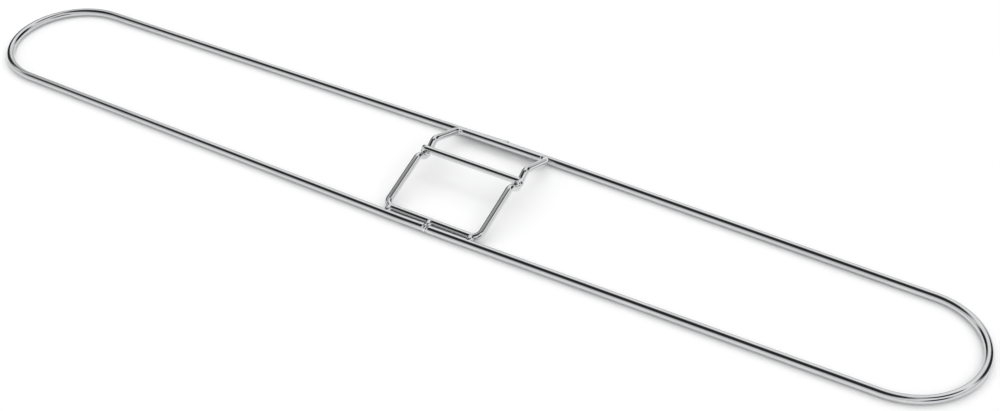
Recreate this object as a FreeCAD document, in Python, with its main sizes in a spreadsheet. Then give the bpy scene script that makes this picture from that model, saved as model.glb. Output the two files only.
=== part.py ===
"""Wire dust-mop frame, 36 in by 5 in class, as a parametric FreeCAD document.

Two U-shaped half loops of spring wire meet in a butt weld on each rail. A raised bracket bridges
the two rails over those welds: a front bail and a back bail, bent from thinner wire, each welded
to its rail in three places. Their legs dip into a valley where they meet, and a straight handle
bar lies across the two valleys and is welded there.

Frame: X along the loop, Y towards the back rail, Z up, origin under the middle of the loop.
All sizes are in millimetres and all angles in degrees.
"""

import FreeCAD, Part
import math
import os
import Sketcher

OUT = "parts"
os.makedirs(OUT, exist_ok=True)

Vector = FreeCAD.Vector
Placement = FreeCAD.Placement
Rotation = FreeCAD.Rotation
X_AXIS = Vector(1, 0, 0)
Z_AXIS = Vector(0, 0, 1)

DIMENSIONS = {
    "loop_length": 914.4,        # outside to outside
    "rail_wire": 7.0,            # diameter of the loop's wire
    "end_radius": 56.7,          # centreline radius of the two rounded ends
    "splice_half_width": 62.0,   # loop centre to rail centreline at the splice
    "splice_place": 25.4,        # the splice and the bracket sit this far along +X
    "butt_gap": 0.2,             # between the cut ends that a weld closes
    "bail_wire": 6.0,            # diameter of the bracket's wire
    "bail_half_width": 43.2,     # bracket centre to the centreline of its legs
    "bail_foot_radius": 7.2,     # bend between a bail's crossbar and its legs
    "front_crossbar_y": -54.2,   # crossbar centrelines
    "front_crossbar_z": 4.6,
    "back_crossbar_y": 56.1,
    "back_crossbar_z": 7.9,
    "front_knee_y": -4.3,        # corner where a front leg turns down into the valley
    "front_knee_z": 21.0,
    "back_knee_y": 20.0,
    "back_knee_z": 22.0,
    "knee_radius": 6.0,
    "handle_bar_y": 6.9,         # handle bar's centreline
    "handle_bar_z": 20.6,
    "handle_bar_length": 92.0,
    "handle_bar_chamfer": 0.6,
    "bar_seat": 0.05,            # between the handle bar and the valleys that it lies in
    "weld_spacing": 38.0,        # along a rail, from the splice to the welds at its sides
    "weld_half_length": 2.7,     # of a bead that ties a crossbar to its rail
    "weld_half_width": 4.4,
    "weld_half_height": 2.3,
    "weld_lift": 1.2,            # of a bead's middle above the line between its two wires
    "bar_weld_half_length": 4.9,  # of the bead at each end of the handle bar
    "bar_weld_half_width": 4.3,
    "bar_weld_half_height": 3.2,
    "bead_height": 0.4,          # how far a butt weld stands proud
    "bead_half_length": 1.8,
}

doc = FreeCAD.newDocument("dust_mop_frame")
sheet = doc.addObject("Spreadsheet::Sheet", "sizes")
for row, (alias, value) in enumerate(DIMENSIONS.items(), start=1):
    sheet.set(f"A{row}", alias)
    sheet.set(f"B{row}", str(value))
    sheet.setAlias(f"B{row}", alias)
doc.recompute()


def size(alias):
    """Return one driving dimension from the sheet."""
    return float(getattr(sheet, alias))


# ---------------------------------------------------------------- derived places

RAIL_RADIUS = size("rail_wire") / 2
BAIL_RADIUS = size("bail_wire") / 2
MIDDLE = size("splice_place")
ARC_CENTRE = size("loop_length") / 2 - RAIL_RADIUS - size("end_radius")
SEAT_RADIUS = size("bail_wire") + size("bar_seat")   # centreline of a valley, round the handle bar
HANDLE_BAR = Vector(MIDDLE, size("handle_bar_y"), size("handle_bar_z"))


def crossbar_place(y_sign):
    """Return the centre of the front bail's crossbar for -1, or of the back one's for +1."""
    name = "front" if y_sign < 0 else "back"
    return Vector(MIDDLE, size(f"{name}_crossbar_y"), size(f"{name}_crossbar_z"))


def splay(side):
    """Return the angle in degrees between a rail of one half loop and the X axis."""
    run = ARC_CENTRE - side * MIDDLE
    width = size("splice_half_width")
    return math.degrees(math.acos(size("end_radius") / math.hypot(width, run)) - math.atan2(run, width))


# ---------------------------------------------------------------- sketch helpers


def plane(body, role):
    """Return one of a body's own origin planes."""
    return next(item for item in body.Origin.OriginFeatures if item.Role == role)


def attach(sketch, support):
    sketch.AttachmentSupport = [(support, "")]
    sketch.MapMode = "FlatFace"


def bind(sketch, kind, arguments, name, expression):
    """Add a constraint with a name and bind its value to the sheet."""
    index = sketch.addConstraint(Sketcher.Constraint(kind, *arguments))
    sketch.renameConstraint(index, name)
    sketch.setExpression(f"Constraints.{name}", expression)


def wire_section(body, name, diameter, offset):
    """Sketch the round section of a wire, across the X axis, at an offset from the YZ plane."""
    section = body.newObject("Sketcher::SketchObject", name)
    attach(section, plane(body, "YZ_Plane"))
    section.AttachmentOffset = offset
    section.addGeometry(Part.Circle(Vector(), Z_AXIS, size(diameter) / 2))
    section.addConstraint(Sketcher.Constraint("Coincident", 0, 3, -1, 1))
    bind(section, "Diameter", (0, size(diameter)), "wire", f"sizes.{diameter}")
    return section


def sweep_wire(body, section, path):
    """Run the round section along a sketched path."""
    pipe = body.newObject("PartDesign::AdditivePipe", f"{body.Name}_wire")
    pipe.Profile = section
    pipe.Spine = (path, [f"Edge{number + 1}" for number in range(path.GeometryCount)])
    body.Tip = pipe


# ---------------------------------------------------------------- the loop


def make_half_loop(label, side):
    """Bend one half of the loop: two rails and a rounded end. side is -1 for left, +1 for right."""
    body = doc.addObject("PartDesign::Body", label)
    body.Label = label
    angle = math.radians(splay(side))
    start = MIDDLE + side * size("butt_gap") / 2
    half_width = size("splice_half_width")
    radius = size("end_radius")
    tangent_x = side * (ARC_CENTRE + radius * math.sin(angle))
    tangent_y = radius * math.cos(angle)
    centre = Vector(side * ARC_CENTRE, 0, 0)
    end = Vector(side * (ARC_CENTRE + radius), 0, 0)
    back = Vector(tangent_x, tangent_y, 0)
    front = Vector(tangent_x, -tangent_y, 0)

    path = body.newObject("Sketcher::SketchObject", f"{label}_path")
    attach(path, plane(body, "XY_Plane"))
    path.setExpression("AttachmentOffset.Base.z", "sizes.rail_wire / 2")
    path.addGeometry(Part.LineSegment(Vector(start, half_width, 0), back))
    path.addGeometry(Part.Arc(back, end, front))
    path.addGeometry(Part.LineSegment(front, Vector(start, -half_width, 0)))
    # An arc in a sketch always runs anticlockwise, so its ends swap over on the right-hand half.
    into, out = (1, 2) if side < 0 else (2, 1)
    path.addConstraint(Sketcher.Constraint("Tangent", 0, 2, 1, into))
    path.addConstraint(Sketcher.Constraint("Tangent", 1, out, 2, 1))
    path.addConstraint(Sketcher.Constraint("PointOnObject", 1, 3, -1))
    bind(path, "Radius", (1, radius), "end_radius", "sizes.end_radius")
    ends = (-1, 1, 1, 3) if side > 0 else (1, 3, -1, 1)
    bind(path, "DistanceX", (*ends, ARC_CENTRE), "arc_centre",
         "(sizes.loop_length - sizes.rail_wire) / 2 - sizes.end_radius")
    sign = "+" if side > 0 else "-"
    place = f"sizes.splice_place {sign} sizes.butt_gap / 2"
    bind(path, "DistanceX", (-1, 1, 0, 1, start), "back_start", place)
    bind(path, "DistanceX", (-1, 1, 2, 2, start), "front_start", place)
    bind(path, "DistanceY", (-1, 1, 0, 1, half_width), "back_width", "sizes.splice_half_width")
    bind(path, "DistanceY", (2, 2, -1, 1, half_width), "front_width", "sizes.splice_half_width")

    turn = Rotation(Vector(0, 1, 0), -side * splay(side))
    section = wire_section(body, f"{label}_section", "rail_wire",
                           Placement(Vector(half_width, RAIL_RADIUS, start), turn))
    sweep_wire(body, section, path)
    return body


def make_splice_weld(label, y_sign):
    """Turn the low barrel-shaped bead of a butt weld, flush with the underside of the rail."""
    body = doc.addObject("PartDesign::Body", label)
    body.Label = label
    half = size("bead_half_length")
    inner = RAIL_RADIUS - size("bead_height")
    outer = RAIL_RADIUS + size("bead_height")
    profile = body.newObject("Sketcher::SketchObject", f"{label}_profile")
    attach(profile, plane(body, "XY_Plane"))
    profile.addGeometry(Part.LineSegment(Vector(half, inner, 0), Vector(-half, inner, 0)))
    profile.addGeometry(Part.Arc(Vector(half, inner, 0), Vector(0, outer, 0), Vector(-half, inner, 0)))
    profile.addConstraint(Sketcher.Constraint("Coincident", 0, 1, 1, 1))
    profile.addConstraint(Sketcher.Constraint("Coincident", 0, 2, 1, 2))
    profile.addConstraint(Sketcher.Constraint("Symmetric", 0, 1, 0, 2, -2))
    bind(profile, "DistanceX", (0, 2, 0, 1, 2 * half), "length", "2 * sizes.bead_half_length")
    bind(profile, "DistanceY", (-1, 1, 0, 1, inner), "root", "sizes.rail_wire / 2 - sizes.bead_height")
    crown = ("(sizes.bead_half_length ^ 2 + (2 * sizes.bead_height) ^ 2) / (4 * sizes.bead_height)")
    bind(profile, "Radius", (1, (half ** 2 + (outer - inner) ** 2) / (2 * (outer - inner))), "crown", crown)
    bead = body.newObject("PartDesign::Revolution", f"{label}_bead")
    bead.Profile = profile
    bead.ReferenceAxis = (profile, ["H_Axis"])
    bead.Angle = 360
    body.Tip = bead
    body.Placement = Placement(
        Vector(MIDDLE, y_sign * size("splice_half_width"), RAIL_RADIUS + size("bead_height")), Rotation())
    return body


# ---------------------------------------------------------------- the bracket


def rounded_wire(points, radii):
    """Join points by straight runs, with a tangent arc of the given radius at each inner point."""
    edges = []
    start = points[0]
    for before, corner, after, radius in zip(points, points[1:], points[2:], radii):
        into = (corner - before).normalize()
        out = (after - corner).normalize()
        half_turn = into.getAngle(out) / 2
        setback = radius * math.tan(half_turn)
        first = corner - into * setback
        last = corner + out * setback
        inward = (out - into).normalize()
        centre = corner + inward * (radius / math.cos(half_turn))
        edges.append(Part.LineSegment(start, first).toShape())
        edges.append(Part.Arc(first, centre - inward * radius, last).toShape())
        start = last
    edges.append(Part.LineSegment(start, points[-1]).toShape())
    return edges


def make_bail(label, y_sign):
    """Bend a U whose legs knee down into the valley under the handle bar and end at its bottom.

    y_sign is -1 for the front bail and +1 for the back one. The valley is an arc round the handle
    bar, and each leg's last straight run meets it on a tangent.
    """
    name = "front" if y_sign < 0 else "back"
    leg = size("bail_half_width")
    knee_y = y_sign * (size(f"{name}_knee_y") - HANDLE_BAR.y)
    knee_z = size(f"{name}_knee_z") - HANDLE_BAR.z
    # Angle below the horizontal of the tangent from the knee to the valley's arc.
    reach = math.hypot(knee_y, knee_z)
    descent = math.asin(SEAT_RADIUS / reach) + math.atan2(knee_z, knee_y)
    gap_angle = size("butt_gap") / 2 / SEAT_RADIUS

    def on_seat(x, angle):
        """Return a point of a valley's arc, by its angle from straight down, in radians."""
        return Vector(x, HANDLE_BAR.y + y_sign * SEAT_RADIUS * math.sin(angle),
                      HANDLE_BAR.z - SEAT_RADIUS * math.cos(angle))

    def seat(x):
        ends = (gap_angle, (gap_angle + descent) / 2, descent)
        return Part.Arc(*[on_seat(x, angle) for angle in ends]).toShape()

    crossbar = crossbar_place(y_sign)
    knee = Vector(MIDDLE - leg, size(f"{name}_knee_y"), size(f"{name}_knee_z"))
    left = [on_seat(MIDDLE - leg, descent), knee, Vector(MIDDLE - leg, crossbar.y, crossbar.z)]
    right = [Vector(2 * MIDDLE - point.x, point.y, point.z) for point in reversed(left)]
    bends = [size("knee_radius"), size("bail_foot_radius")]
    runs = rounded_wire(left + right, bends + bends[::-1])

    path = doc.addObject("Part::Feature", f"{label}_path")
    edges = [seat(MIDDLE - leg), *runs, seat(MIDDLE + leg)]
    path.Shape = Part.Wire(Part.__sortEdges__(edges))
    section = doc.addObject("Part::Circle", f"{label}_section")
    section.setExpression("Radius", "sizes.bail_wire / 2")
    along = Vector(0, y_sign * math.cos(gap_angle), math.sin(gap_angle))
    section.Placement = Placement(on_seat(MIDDLE - leg, gap_angle), Rotation(Z_AXIS, along))
    bail = doc.addObject("Part::Sweep", label)
    bail.Label = label
    bail.Sections = [section]
    bail.Spine = (path, [f"Edge{number + 1}" for number in range(len(path.Shape.Edges))])
    bail.Solid = True
    bail.Frenet = False
    bail.Transition = "Transformed"
    return bail


def make_handle_bar():
    """Cut the straight bar that a handle clips to, with its ends chamfered."""
    body = doc.addObject("PartDesign::Body", "handle_bar")
    body.Label = "handle_bar"
    half = size("handle_bar_length") / 2
    radius = BAIL_RADIUS
    chamfer = size("handle_bar_chamfer")
    profile = body.newObject("Sketcher::SketchObject", "handle_bar_profile")
    attach(profile, plane(body, "XY_Plane"))
    corners = [Vector(-half, 0, 0), Vector(-half, radius - chamfer, 0), Vector(chamfer - half, radius, 0),
               Vector(half - chamfer, radius, 0), Vector(half, radius - chamfer, 0), Vector(half, 0, 0)]
    count = len(corners)
    for first in range(count):
        profile.addGeometry(Part.LineSegment(corners[first], corners[(first + 1) % count]))
    for first in range(count):
        profile.addConstraint(Sketcher.Constraint("Coincident", first, 2, (first + 1) % count, 1))
    for edge, kind in ((0, "Vertical"), (2, "Horizontal"), (4, "Vertical"), (5, "Horizontal")):
        profile.addConstraint(Sketcher.Constraint(kind, edge))
    profile.addConstraint(Sketcher.Constraint("Symmetric", 5, 1, 5, 2, -1, 1))
    bind(profile, "DistanceX", (5, 2, 5, 1, 2 * half), "length", "sizes.handle_bar_length")
    bind(profile, "DistanceY", (-1, 1, 2, 1, radius), "radius", "sizes.bail_wire / 2")
    bind(profile, "DistanceX", (1, 1, 1, 2, chamfer), "left_chamfer", "sizes.handle_bar_chamfer")
    bind(profile, "DistanceY", (1, 1, 1, 2, chamfer), "left_chamfer_drop", "sizes.handle_bar_chamfer")
    bind(profile, "DistanceX", (3, 1, 3, 2, chamfer), "right_chamfer", "sizes.handle_bar_chamfer")
    bind(profile, "DistanceY", (3, 2, 3, 1, chamfer), "right_chamfer_drop", "sizes.handle_bar_chamfer")
    bar = body.newObject("PartDesign::Revolution", "handle_bar_rod")
    bar.Profile = profile
    bar.ReferenceAxis = (profile, ["H_Axis"])
    bar.Angle = 360
    body.Tip = bar
    body.Placement = Placement(HANDLE_BAR, Rotation())
    return body


def make_bead(label, place, prefix, lean):
    """Make a rounded weld bead whose half sizes are three cells of the sheet.

    lean turns it about X, so that it lies across two wires of unequal height.
    """
    bead = doc.addObject("Part::Ellipsoid", label)
    bead.Label = label
    # The ellipsoid's own Z axis carries Radius1, and is laid along X.
    bead.setExpression("Radius1", f"sizes.{prefix}_half_length")
    bead.setExpression("Radius2", f"sizes.{prefix}_half_height")
    bead.setExpression("Radius3", f"sizes.{prefix}_half_width")
    bead.Placement = Placement(place, Rotation(X_AXIS, lean) * Rotation(Vector(0, 1, 0), 90))
    return bead


def make_rail_weld(label, y_sign, x_offset):
    """Make the bead that ties a bail's crossbar to its rail, in the groove between them."""
    side = 1 if x_offset > 0 else -1
    inward = abs(x_offset) * math.tan(math.radians(splay(side)))
    rail = Vector(MIDDLE + x_offset, y_sign * (size("splice_half_width") - inward), RAIL_RADIUS)
    crossbar = crossbar_place(y_sign)
    crossbar.x = rail.x
    reach = crossbar - rail
    lean = math.degrees(math.atan2(-y_sign * reach.z, -y_sign * reach.y))
    return make_bead(label, (rail + crossbar) / 2 + Vector(0, 0, size("weld_lift")), "weld", lean)


# ---------------------------------------------------------------- the whole frame

nodes = [
    make_half_loop("left_half_loop", -1),
    make_half_loop("right_half_loop", 1),
    make_splice_weld("front_splice_weld", -1),
    make_splice_weld("back_splice_weld", 1),
    make_bail("front_bail", -1),
    make_bail("back_bail", 1),
    make_handle_bar(),
]
for rail_name, y_sign in (("front", -1), ("back", 1)):
    for place_name, step in (("left", -1), ("centre", 0), ("right", 1)):
        nodes.append(make_rail_weld(f"{rail_name}_weld_{place_name}", y_sign, step * size("weld_spacing")))
for place_name, step in (("left", -1), ("right", 1)):
    crossing = HANDLE_BAR + Vector(step * size("bail_half_width"), 0, -SEAT_RADIUS / 2)
    nodes.append(make_bead(f"handle_bar_weld_{place_name}", crossing, "bar_weld", 0))
doc.recompute()

for item in doc.Objects:
    bad = {"Invalid", "Error"} & set(item.State)
    if bad:
        raise RuntimeError(f"{item.Name} failed: {item.State}")
for node in nodes:
    shape = node.Shape
    if shape.isNull() or not shape.isValid() or not shape.Solids:
        raise RuntimeError(f"{node.Label} has no valid solid")
for node in nodes:
    node.Shape.exportStep(os.path.join(OUT, f"{node.Label}.step"))
    box = node.Shape.BoundBox
    print(f"{node.Label}: {node.Shape.Volume:.1f} mm3, {len(node.Shape.Solids)} solid(s), "
          f"x {box.XMin:.2f} to {box.XMax:.2f}, y {box.YMin:.2f} to {box.YMax:.2f}, "
          f"z {box.ZMin:.2f} to {box.ZMax:.2f}")
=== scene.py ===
"""Chrome-plated wire dust-mop frame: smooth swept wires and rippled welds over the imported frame."""

import math

import bmesh
import bpy
from mathutils import Matrix, Vector, noise


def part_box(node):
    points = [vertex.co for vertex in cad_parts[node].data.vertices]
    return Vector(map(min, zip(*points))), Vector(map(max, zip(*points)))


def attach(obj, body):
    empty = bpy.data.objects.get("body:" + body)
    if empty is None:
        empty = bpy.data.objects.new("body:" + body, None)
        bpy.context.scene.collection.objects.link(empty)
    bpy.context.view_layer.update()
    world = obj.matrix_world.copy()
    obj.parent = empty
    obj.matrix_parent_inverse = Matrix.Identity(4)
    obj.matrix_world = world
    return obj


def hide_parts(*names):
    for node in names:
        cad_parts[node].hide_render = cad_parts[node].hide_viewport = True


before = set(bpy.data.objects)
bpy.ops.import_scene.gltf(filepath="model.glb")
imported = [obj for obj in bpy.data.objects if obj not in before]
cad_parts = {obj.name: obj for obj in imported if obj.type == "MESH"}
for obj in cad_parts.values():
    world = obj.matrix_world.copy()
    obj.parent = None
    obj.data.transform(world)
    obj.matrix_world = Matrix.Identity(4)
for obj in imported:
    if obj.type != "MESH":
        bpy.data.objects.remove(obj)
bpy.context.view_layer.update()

MM = 0.001
X_AXIS, Y_AXIS, Z_AXIS = Vector((1, 0, 0)), Vector((0, 1, 0)), Vector((0, 0, 1))

# ---------------------------------------------------------------- sizes, from the frame

LOOP_LOW, LOOP_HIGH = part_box("right_half_loop")
BAR_LOW, BAR_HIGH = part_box("handle_bar")
FRONT_LOW, FRONT_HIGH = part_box("front_bail")
BACK_LOW, BACK_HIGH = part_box("back_bail")

HANDLE_BAR = (BAR_LOW + BAR_HIGH) / 2
MIDDLE = HANDLE_BAR.x
BAR_HALF_LENGTH = (BAR_HIGH.x - BAR_LOW.x) / 2
BAIL_RADIUS = (BAR_HIGH.z - BAR_LOW.z) / 2
LEG = FRONT_HIGH.x - MIDDLE - BAIL_RADIUS   # bracket's middle to the centreline of its legs
RAIL_RADIUS = (LOOP_HIGH.z - LOOP_LOW.z) / 2
HALF_LENGTH = LOOP_HIGH.x - RAIL_RADIUS     # to the centreline of the rounded end
SPLICE_WIDTH = LOOP_HIGH.y - RAIL_RADIUS
CROSSBARS = {-1: Vector((MIDDLE, FRONT_LOW.y + BAIL_RADIUS, FRONT_LOW.z + BAIL_RADIUS)),
             1: Vector((MIDDLE, BACK_HIGH.y - BAIL_RADIUS, BACK_LOW.z + BAIL_RADIUS))}

END_RADIUS = 56.7 * MM
FOOT_RADIUS = 7.2 * MM
KNEES = {-1: (-4.3 * MM, 21.0 * MM), 1: (20.0 * MM, 22.0 * MM)}   # y and z of each bail's knee
KNEE_RADIUS = 6.0 * MM
SEAT_RADIUS = 2 * BAIL_RADIUS + 0.05 * MM   # centreline of a valley, round the handle bar
BUTT_GAP = 0.2 * MM
BAR_CHAMFER = 0.6 * MM
SPLICE_HALF_LENGTH = 2.6 * MM
BEAD_HEIGHT = 0.4 * MM
RAIL_WELD = (3.1 * MM, 4.8 * MM, 2.8 * MM)  # half sizes of a bead: along X, across, and up
BAR_WELD = (4.9 * MM, 4.3 * MM, 3.2 * MM)

TUBE_SIDES = 40
STRAIGHT_STEP = 4.0 * MM
BEND_STEP = math.radians(4)
WOBBLE = 0.07 * MM           # how far a drawn wire strays from a true line
WOBBLE_LENGTH = 90.0 * MM
WOBBLE_RISE = 0.5            # of the wobble, for its upward part
WOBBLE_SHIFT = Vector((0, 7, 3))
END_STEP = 0.55 * MM         # the left half loop's cut ends stand this much high at the splices
END_STEP_LENGTH = 26.0 * MM

# ---------------------------------------------------------------- wires


def straight(first, last):
    """Return evenly spaced points from first up to, but not including, last."""
    count = max(2, round((last - first).length / STRAIGHT_STEP))
    return [first.lerp(last, step / count) for step in range(count)]


def bend(centre, across, along, radius, start, end):
    """Return points of an arc, by angle in degrees from the direction across towards along."""
    start, end = math.radians(start), math.radians(end)
    count = max(4, round(abs(end - start) / BEND_STEP))
    angles = [start + (end - start) * step / count for step in range(count)]
    return [centre + radius * (math.cos(angle) * across + math.sin(angle) * along) for angle in angles]


def rounded(points, radii):
    """Return points along straight runs with a tangent arc at each inner corner."""
    path = []
    start = points[0]
    for before, corner, after, radius in zip(points, points[1:], points[2:], radii):
        into = (corner - before).normalized()
        out = (after - corner).normalized()
        half_turn = into.angle(out) / 2
        first = corner - into * (radius * math.tan(half_turn))
        path += straight(start, first)
        inward = (out - into).normalized()
        centre = corner + inward * (radius / math.cos(half_turn))
        across = (first - centre).normalized()
        path += bend(centre, across, into, radius, 0, math.degrees(2 * half_turn))
        start = corner + out * (radius * math.tan(half_turn))
    return path + straight(start, points[-1]) + [points[-1]]


def wobble(point, seed):
    """Return a small smooth offset, so that a long wire isn't a perfect line."""
    place = point / WOBBLE_LENGTH + Vector((seed, 0, 0))
    return Vector((0, noise.noise(place), WOBBLE_RISE * noise.noise(place + WOBBLE_SHIFT))) * WOBBLE


def sweep(name, path, radius, chamfer=0.0):
    """Build a smooth round wire along a path, with coordinates for its finish in an attribute.

    The attribute wire_place holds, in metres, a point of the unrolled wire: its place round the
    section and its distance along the path.
    """
    tangents = [(after - before).normalized()
                for before, after in zip([path[0]] + path[:-1], path[1:] + [path[-1]])]
    side = tangents[0].cross(Z_AXIS)
    if side.length < 1e-3:
        side = X_AXIS.copy()
    sections = []
    for point, tangent in zip(path, tangents):
        side = (side - tangent * side.dot(tangent)).normalized()
        sections.append((point, radius, side, tangent.cross(side)))
    if chamfer:
        first, last = sections[0], sections[-1]
        sections[0] = (first[0] + tangents[0] * chamfer, *first[1:])
        sections[-1] = (last[0] - tangents[-1] * chamfer, *last[1:])
        tip = (path[0], radius - chamfer, *first[2:])
        tail = (path[-1], radius - chamfer, *last[2:])
        sections = [tip, *sections, tail]

    vertices, places = [], []
    travelled = 0.0
    previous = sections[0][0]
    for centre, reach, across, up in sections:
        travelled += (centre - previous).length
        previous = centre
        for step in range(TUBE_SIDES):
            angle = 2 * math.pi * step / TUBE_SIDES
            spoke = math.cos(angle) * across + math.sin(angle) * up
            vertices.append(centre + reach * spoke)
            places.append((radius * math.cos(angle), radius * math.sin(angle), travelled))
    rings = len(sections)
    faces = []
    for ring in range(rings - 1):
        here, there = ring * TUBE_SIDES, (ring + 1) * TUBE_SIDES
        for step in range(TUBE_SIDES):
            beside = (step + 1) % TUBE_SIDES
            faces.append((here + step, here + beside, there + beside, there + step))
    faces.append(tuple(reversed(range(TUBE_SIDES))))
    faces.append(tuple(range((rings - 1) * TUBE_SIDES, rings * TUBE_SIDES)))
    return build(name, vertices, faces, places)


def build(name, vertices, faces, places):
    """Make a smooth-shaded mesh object that carries its finish coordinates."""
    mesh = bpy.data.meshes.new(name)
    mesh.from_pydata([tuple(vertex) for vertex in vertices], [], faces)
    mesh.validate()
    attribute = mesh.attributes.new("wire_place", "FLOAT_VECTOR", "POINT")
    attribute.data.foreach_set("vector", [value for place in places for value in place])
    for polygon in mesh.polygons:
        polygon.use_smooth = len(polygon.vertices) == 4
    piece = bpy.data.objects.new(name, mesh)
    bpy.context.scene.collection.objects.link(piece)
    return piece


def splay(side):
    """Return the angle in radians between a rail of one half loop and the X axis."""
    run = HALF_LENGTH - END_RADIUS - side * MIDDLE
    return math.acos(END_RADIUS / math.hypot(SPLICE_WIDTH, run)) - math.atan2(run, SPLICE_WIDTH)


def make_half_loop(name, side):
    """Sweep one U-shaped half of the loop, side -1 for left and +1 for right."""
    angle = splay(side)
    centre = Vector((side * (HALF_LENGTH - END_RADIUS), 0, RAIL_RADIUS))
    outward = X_AXIS * side
    lean = math.degrees(angle)
    arc = bend(centre, outward, Y_AXIS, END_RADIUS, 90 - lean, lean - 90)
    back_end = centre + END_RADIUS * (math.sin(angle) * outward + math.cos(angle) * Y_AXIS)
    front_end = Vector((back_end.x, -back_end.y, back_end.z))
    back_start = Vector((MIDDLE, SPLICE_WIDTH, RAIL_RADIUS))
    front_start = Vector((MIDDLE, -SPLICE_WIDTH, RAIL_RADIUS))
    path = straight(back_start, back_end) + arc + straight(front_end, front_start) + [front_start]
    shaped = []
    for point in path:
        near = max(0.0, 1 - abs(point.x - MIDDLE) / END_STEP_LENGTH)
        rise = END_STEP * near * near * (3 - 2 * near) if side < 0 else 0.0
        shaped.append(point + wobble(point, side) * (1 - near) + Vector((0, 0, rise)))
    return sweep(name, shaped, RAIL_RADIUS)


def make_bail(name, y_sign):
    """Sweep a bail, y_sign -1 for front and +1 for back, from valley to valley by its crossbar."""
    knee_y, knee_z = KNEES[y_sign]
    away, above = y_sign * (knee_y - HANDLE_BAR.y), knee_z - HANDLE_BAR.z
    descent = math.asin(SEAT_RADIUS / math.hypot(away, above)) + math.atan2(above, away)
    gap_angle = BUTT_GAP / 2 / SEAT_RADIUS
    crossbar = CROSSBARS[y_sign]
    outward = Y_AXIS * y_sign
    bottom = Vector((MIDDLE - LEG, HANDLE_BAR.y, HANDLE_BAR.z))
    seat = bend(bottom, -Z_AXIS, outward, SEAT_RADIUS, math.degrees(gap_angle), math.degrees(descent))
    off_seat = bottom + SEAT_RADIUS * (math.sin(descent) * outward - math.cos(descent) * Z_AXIS)
    left = [off_seat, Vector((bottom.x, knee_y, knee_z)), crossbar - X_AXIS * LEG]
    right = [other_side(point) for point in reversed(left)]
    bends = [KNEE_RADIUS, FOOT_RADIUS]
    runs = rounded(left + right, bends + bends[::-1])
    return sweep(name, seat + runs + [other_side(point) for point in reversed(seat)], BAIL_RADIUS)


def other_side(point):
    """Return a point mirrored in the bracket's middle plane."""
    return Vector((2 * MIDDLE - point.x, point.y, point.z))


def make_handle_bar(name):
    """Sweep the straight bar that a handle clips to, with its ends chamfered."""
    reach = X_AXIS * BAR_HALF_LENGTH
    path = straight(HANDLE_BAR - reach, HANDLE_BAR + reach) + [HANDLE_BAR + reach]
    return sweep(name, path, BAIL_RADIUS, chamfer=BAR_CHAMFER)


# ---------------------------------------------------------------- welds

RIPPLE_PITCH = 0.8 * MM
RIPPLE_HEIGHT = 0.06 * MM
SCALLOP_WANDER = 900         # noise scales, per metre
LUMP_SCALE = 1100
SCALLOP_SHARE, LUMP_SHARE = 0.6, 1.4
BEAD_COLUMNS, BEAD_ROWS = 48, 28


def lump(point, seed):
    """Return how far a weld bead's surface swells at a point, with the scallops of a weld."""
    scallop = math.sin(2 * math.pi * point.x / RIPPLE_PITCH + 2 * noise.noise(point * SCALLOP_WANDER + seed))
    swell = noise.noise(point * LUMP_SCALE + seed * 3)
    return RIPPLE_HEIGHT * (SCALLOP_SHARE * scallop + LUMP_SHARE * swell)


def make_bead(name, centre, half_sizes, lean=0.0):
    """Make a rippled weld bead. lean turns it about X, in radians."""
    seed = Vector((centre.x * 97, centre.y * 89, 1.7))
    turn = Matrix.Rotation(lean, 3, "X")
    vertices, faces, places = [], [], []
    for row in range(BEAD_ROWS + 1):
        polar = math.pi * row / BEAD_ROWS
        for column in range(BEAD_COLUMNS):
            angle = 2 * math.pi * column / BEAD_COLUMNS
            outward = Vector((math.cos(polar), math.sin(polar) * math.cos(angle),
                              math.sin(polar) * math.sin(angle)))
            shape = Vector([half * part for half, part in zip(half_sizes, outward)])
            swell = lump(centre + shape, seed) * math.sin(polar)
            vertices.append(centre + turn @ (shape + outward * swell))
            places.append(tuple(shape))
    for row in range(BEAD_ROWS):
        for column in range(BEAD_COLUMNS):
            beside = (column + 1) % BEAD_COLUMNS
            here, below = row * BEAD_COLUMNS, (row + 1) * BEAD_COLUMNS
            faces.append((here + column, below + column, below + beside, here + beside))
    piece = build(name, vertices, faces, places)
    merge_poles(piece)
    return piece


def merge_poles(piece):
    """Join the repeated points at the poles of a bead into single points."""
    shape = bmesh.new()
    shape.from_mesh(piece.data)
    bmesh.ops.remove_doubles(shape, verts=shape.verts, dist=1e-7)
    bmesh.ops.recalc_face_normals(shape, faces=shape.faces)
    shape.to_mesh(piece.data)
    shape.free()
    for polygon in piece.data.polygons:
        polygon.use_smooth = True


def centre_of(node):
    low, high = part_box(node)
    return (low + high) / 2


def make_rail_weld(name, node, y_sign):
    """Make the bead between a crossbar and its rail, leaning from one wire to the other."""
    centre = centre_of(node)
    step = centre.x - MIDDLE
    inward = abs(step) * math.tan(splay(1 if step > 0 else -1))
    rail = Vector((0, y_sign * (SPLICE_WIDTH - inward), RAIL_RADIUS))
    reach = (CROSSBARS[y_sign] - rail) * -y_sign
    return make_bead(name, centre, RAIL_WELD, math.atan2(reach.z, reach.y))


# ---------------------------------------------------------------- materials


def node_of(tree, kind, **inputs):
    """Add a shader node and set its inputs by name."""
    made = tree.nodes.new(kind)
    for label, value in inputs.items():
        made.inputs[label].default_value = value
    return made


def stretched_noise(tree, source, scale, stretch, detail):
    """Add noise whose grain runs along the wire: stretch is its scale along over its scale across."""
    mapping = tree.nodes.new("ShaderNodeMapping")
    mapping.inputs["Scale"].default_value = (1.0, 1.0, stretch)
    tree.links.new(source, mapping.inputs["Vector"])
    grain = node_of(tree, "ShaderNodeTexNoise", Scale=scale, Detail=detail, Roughness=0.6)
    tree.links.new(mapping.outputs["Vector"], grain.inputs["Vector"])
    return grain.outputs["Fac"]


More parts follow.
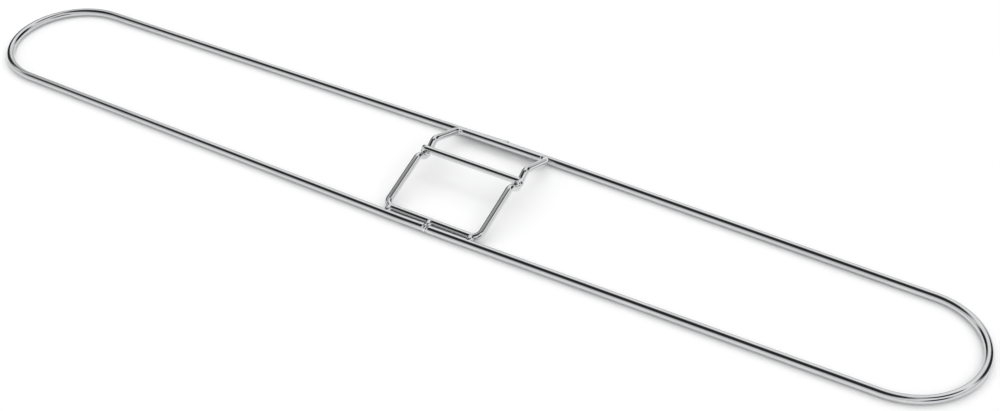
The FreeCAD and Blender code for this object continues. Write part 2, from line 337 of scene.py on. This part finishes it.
def remap(tree, value, low, high, to_low, to_high):
    made = tree.nodes.new("ShaderNodeMapRange")
    for label, number in (("From Min", low), ("From Max", high), ("To Min", to_low), ("To Max", to_high)):
        made.inputs[label].default_value = number
    tree.links.new(value, made.inputs["Value"])
    return made.outputs["Result"]


def combine(tree, operation, first, second):
    made = tree.nodes.new("ShaderNodeMath")
    made.operation = operation
    tree.links.new(first, made.inputs[0])
    tree.links.new(second, made.inputs[1])
    return made.outputs["Value"]


# Noise of the chrome finish: scale per metre, stretch along the wire, and detail.
PATCH_NOISE = (70.0, 0.35, 3.0)
DRAWN_LINE_NOISE = (1500.0, 0.012, 4.0)
PIT_NOISE = (2600.0, 1.0, 2.0)
SMUDGE_NOISE = (160.0, 0.5, 4.0)


def chrome(name, dark, light, roughness, draw_depth, pit_depth):
    """Return plated wire: drawn lines along it, faint pits, and a finish that varies."""
    material = bpy.data.materials.new(name)
    material.use_nodes = True
    tree = material.node_tree
    tree.nodes.clear()
    output = tree.nodes.new("ShaderNodeOutputMaterial")
    shader = node_of(tree, "ShaderNodeBsdfPrincipled", Metallic=1.0)
    tree.links.new(shader.outputs["BSDF"], output.inputs["Surface"])
    place = tree.nodes.new("ShaderNodeAttribute")
    place.attribute_name = "wire_place"
    source = place.outputs["Vector"]

    patches = stretched_noise(tree, source, *PATCH_NOISE)
    tint = tree.nodes.new("ShaderNodeMix")
    tint.data_type = "RGBA"
    tint.inputs["A"].default_value = (*dark, 1)
    tint.inputs["B"].default_value = (*light, 1)
    tree.links.new(remap(tree, patches, 0.3, 0.7, 0.0, 1.0), tint.inputs["Factor"])
    tree.links.new(tint.outputs["Result"], shader.inputs["Base Color"])

    lines = stretched_noise(tree, source, *DRAWN_LINE_NOISE)
    pits = stretched_noise(tree, source, *PIT_NOISE)
    smudges = stretched_noise(tree, source, *SMUDGE_NOISE)
    finish = combine(tree, "ADD", remap(tree, smudges, 0.35, 0.75, 0.7 * roughness, 1.7 * roughness),
                     remap(tree, lines, 0.45, 0.8, 0.0, 0.8 * roughness))
    tree.links.new(finish, shader.inputs["Roughness"])

    draw = node_of(tree, "ShaderNodeBump", Strength=1.0, Distance=draw_depth)
    tree.links.new(lines, draw.inputs["Height"])
    peel = node_of(tree, "ShaderNodeBump", Strength=1.0, Distance=pit_depth)
    tree.links.new(pits, peel.inputs["Height"])
    tree.links.new(draw.outputs["Normal"], peel.inputs["Normal"])
    tree.links.new(peel.outputs["Normal"], shader.inputs["Normal"])
    return material


WIRE_CHROME = chrome("wire_chrome", (0.60, 0.61, 0.62), (0.70, 0.70, 0.71), 0.07, 0.004 * MM, 0.0006 * MM)
BAIL_CHROME = chrome("bail_chrome", (0.64, 0.65, 0.66), (0.74, 0.74, 0.75), 0.07, 0.004 * MM, 0.0006 * MM)
WELD_CHROME = chrome("weld_chrome", (0.62, 0.63, 0.64), (0.78, 0.78, 0.79), 0.13, 0.0, 0.01 * MM)


def finish_piece(piece, node, material):
    """Hang a piece on the frame in place of its CAD node."""
    piece.data.materials.append(material)
    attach(piece, "root")
    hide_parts(node)


# ---------------------------------------------------------------- pieces

for side_name, side in (("left", -1), ("right", 1)):
    node = f"{side_name}_half_loop"
    finish_piece(make_half_loop(f"{node}_wire", side), node, WIRE_CHROME)
finish_piece(make_handle_bar("handle_bar_wire"), "handle_bar", BAIL_CHROME)

for rail_name, y_sign in (("front", -1), ("back", 1)):
    node = f"{rail_name}_bail"
    finish_piece(make_bail(f"{node}_wire", y_sign), node, BAIL_CHROME)
    node = f"{rail_name}_splice_weld"
    across = RAIL_RADIUS + 0.7 * BEAD_HEIGHT
    bead = make_bead(f"{node}_bead", centre_of(node), (SPLICE_HALF_LENGTH, across, across))
    finish_piece(bead, node, WELD_CHROME)
    for place_name in ("left", "centre", "right"):
        node = f"{rail_name}_weld_{place_name}"
        finish_piece(make_rail_weld(f"{node}_bead", node, y_sign), node, WELD_CHROME)

for place_name in ("left", "right"):
    node = f"handle_bar_weld_{place_name}"
    finish_piece(make_bead(f"{node}_bead", centre_of(node), BAR_WELD), node, WELD_CHROME)

# ---------------------------------------------------------------- floor, light and camera

CAMERA_AZIMUTH = 31.84
CAMERA_ELEVATION = 38.97
CAMERA_ROLL = 1.60
CAMERA_DISTANCE = 1.3195
CAMERA_LENS = 59.68
CAMERA_TARGET = Vector((61.83, -9.27, 3.87)) * MM


def direction(azimuth, elevation):
    """Return the unit vector from the object towards a viewer, azimuth 0 being the front."""
    azimuth, elevation = math.radians(azimuth), math.radians(elevation)
    level = math.cos(elevation)
    return Vector((math.sin(azimuth) * level, -math.cos(azimuth) * level, math.sin(elevation)))


def add_camera():
    """Place the camera in front of the frame, above it and to its right."""
    camera = bpy.data.objects.new("camera", bpy.data.cameras.new("camera"))
    camera.data.lens = CAMERA_LENS
    camera.data.clip_start = 0.01
    bpy.context.scene.collection.objects.link(camera)
    backward = direction(CAMERA_AZIMUTH, CAMERA_ELEVATION)
    right = Z_AXIS.cross(backward).normalized()
    turn = Matrix.Rotation(-math.radians(CAMERA_ROLL), 3, backward)
    right = turn @ right
    up = backward.cross(right)
    axes = Matrix((right, up, backward)).transposed().to_4x4()
    place = CAMERA_TARGET + backward * CAMERA_DISTANCE
    camera.matrix_world = Matrix.Translation(place) @ axes
    bpy.context.scene.camera = camera


FLOOR_SIZE = 8.0
FLOOR_COLOUR = (0.93, 0.93, 0.93, 1)


def add_floor():
    """Lay a plain pale floor under the frame."""
    mesh = bpy.data.meshes.new("floor")
    half = FLOOR_SIZE / 2
    corners = [(-half, -half, 0), (half, -half, 0), (half, half, 0), (-half, half, 0)]
    mesh.from_pydata(corners, [], [(0, 1, 2, 3)])
    floor = bpy.data.objects.new("floor", mesh)
    bpy.context.scene.collection.objects.link(floor)
    material = bpy.data.materials.new("floor_white")
    material.use_nodes = True
    shader = material.node_tree.nodes["Principled BSDF"]
    shader.inputs["Base Color"].default_value = FLOOR_COLOUR
    shader.inputs["Roughness"].default_value = 0.9
    shader.inputs["Specular IOR Level"].default_value = 0.0
    mesh.materials.append(material)


HORIZON_LIGHT = 0.72
OVERHEAD_LIGHT = 1.3
OVERHEAD_HEIGHT = 0.6      # of a direction's unit vector, from where the tent is at its brightest
OPENING_LIGHT = 0.03
# Dark openings of the light tent: azimuth, elevation, and the angles where it turns dark and light.
TENT_OPENINGS = ((-32.0, 60.0, 28.0, 44.0), (110.0, 64.0, 13.0, 18.0), (150.0, 24.0, 18.0, 28.0),
                 (60.0, 12.0, 12.0, 22.0), (-110.0, 20.0, 16.0, 28.0))


def add_world():
    """Surround the frame with a pale light tent that has dark openings.

    The wires along X mirror the large one at the front left in a band along their middle, and the
    legs mirror the smallest one as a thin line. The rest give the wires an edge from other sides.
    """
    world = bpy.data.worlds.new("light_tent")
    world.use_nodes = True
    bpy.context.scene.world = world
    tree = world.node_tree
    tree.nodes.clear()
    output = tree.nodes.new("ShaderNodeOutputWorld")
    background = tree.nodes.new("ShaderNodeBackground")
    tree.links.new(background.outputs["Background"], output.inputs["Surface"])
    place = tree.nodes.new("ShaderNodeTexCoord").outputs["Generated"]
    height = facing(tree, place, Z_AXIS)
    light = remap(tree, height, 0.0, OVERHEAD_HEIGHT, HORIZON_LIGHT, OVERHEAD_LIGHT)
    for azimuth, elevation, inner, outer in TENT_OPENINGS:
        nearness = facing(tree, place, direction(azimuth, elevation))
        edges = [math.cos(math.radians(angle)) for angle in (outer, inner)]
        light = combine(tree, "MULTIPLY", light, remap(tree, nearness, *edges, 1.0, OPENING_LIGHT))
    tree.links.new(light, background.inputs["Strength"])


def facing(tree, place, towards):
    """Return the cosine between a direction of the sky and a fixed one."""
    made = tree.nodes.new("ShaderNodeVectorMath")
    made.operation = "DOT_PRODUCT"
    made.inputs[1].default_value = towards
    tree.links.new(place, made.inputs[0])
    return made.outputs["Value"]


FLOOR_SUN_STRENGTH = 1.9
FLOOR_SUN_SPREAD = 120.0


def add_floor_light():
    """Add very soft light from overhead. It whitens the floor and isn't mirrored in the chrome."""
    lamp = bpy.data.lights.new("overhead", "SUN")
    lamp.angle = math.radians(FLOOR_SUN_SPREAD)
    lamp.energy = FLOOR_SUN_STRENGTH
    overhead = bpy.data.objects.new("overhead", lamp)
    overhead.visible_glossy = False
    bpy.context.scene.collection.objects.link(overhead)


add_camera()
add_floor()
add_world()
add_floor_light()
bpy.context.scene.view_settings.view_transform = "Standard"
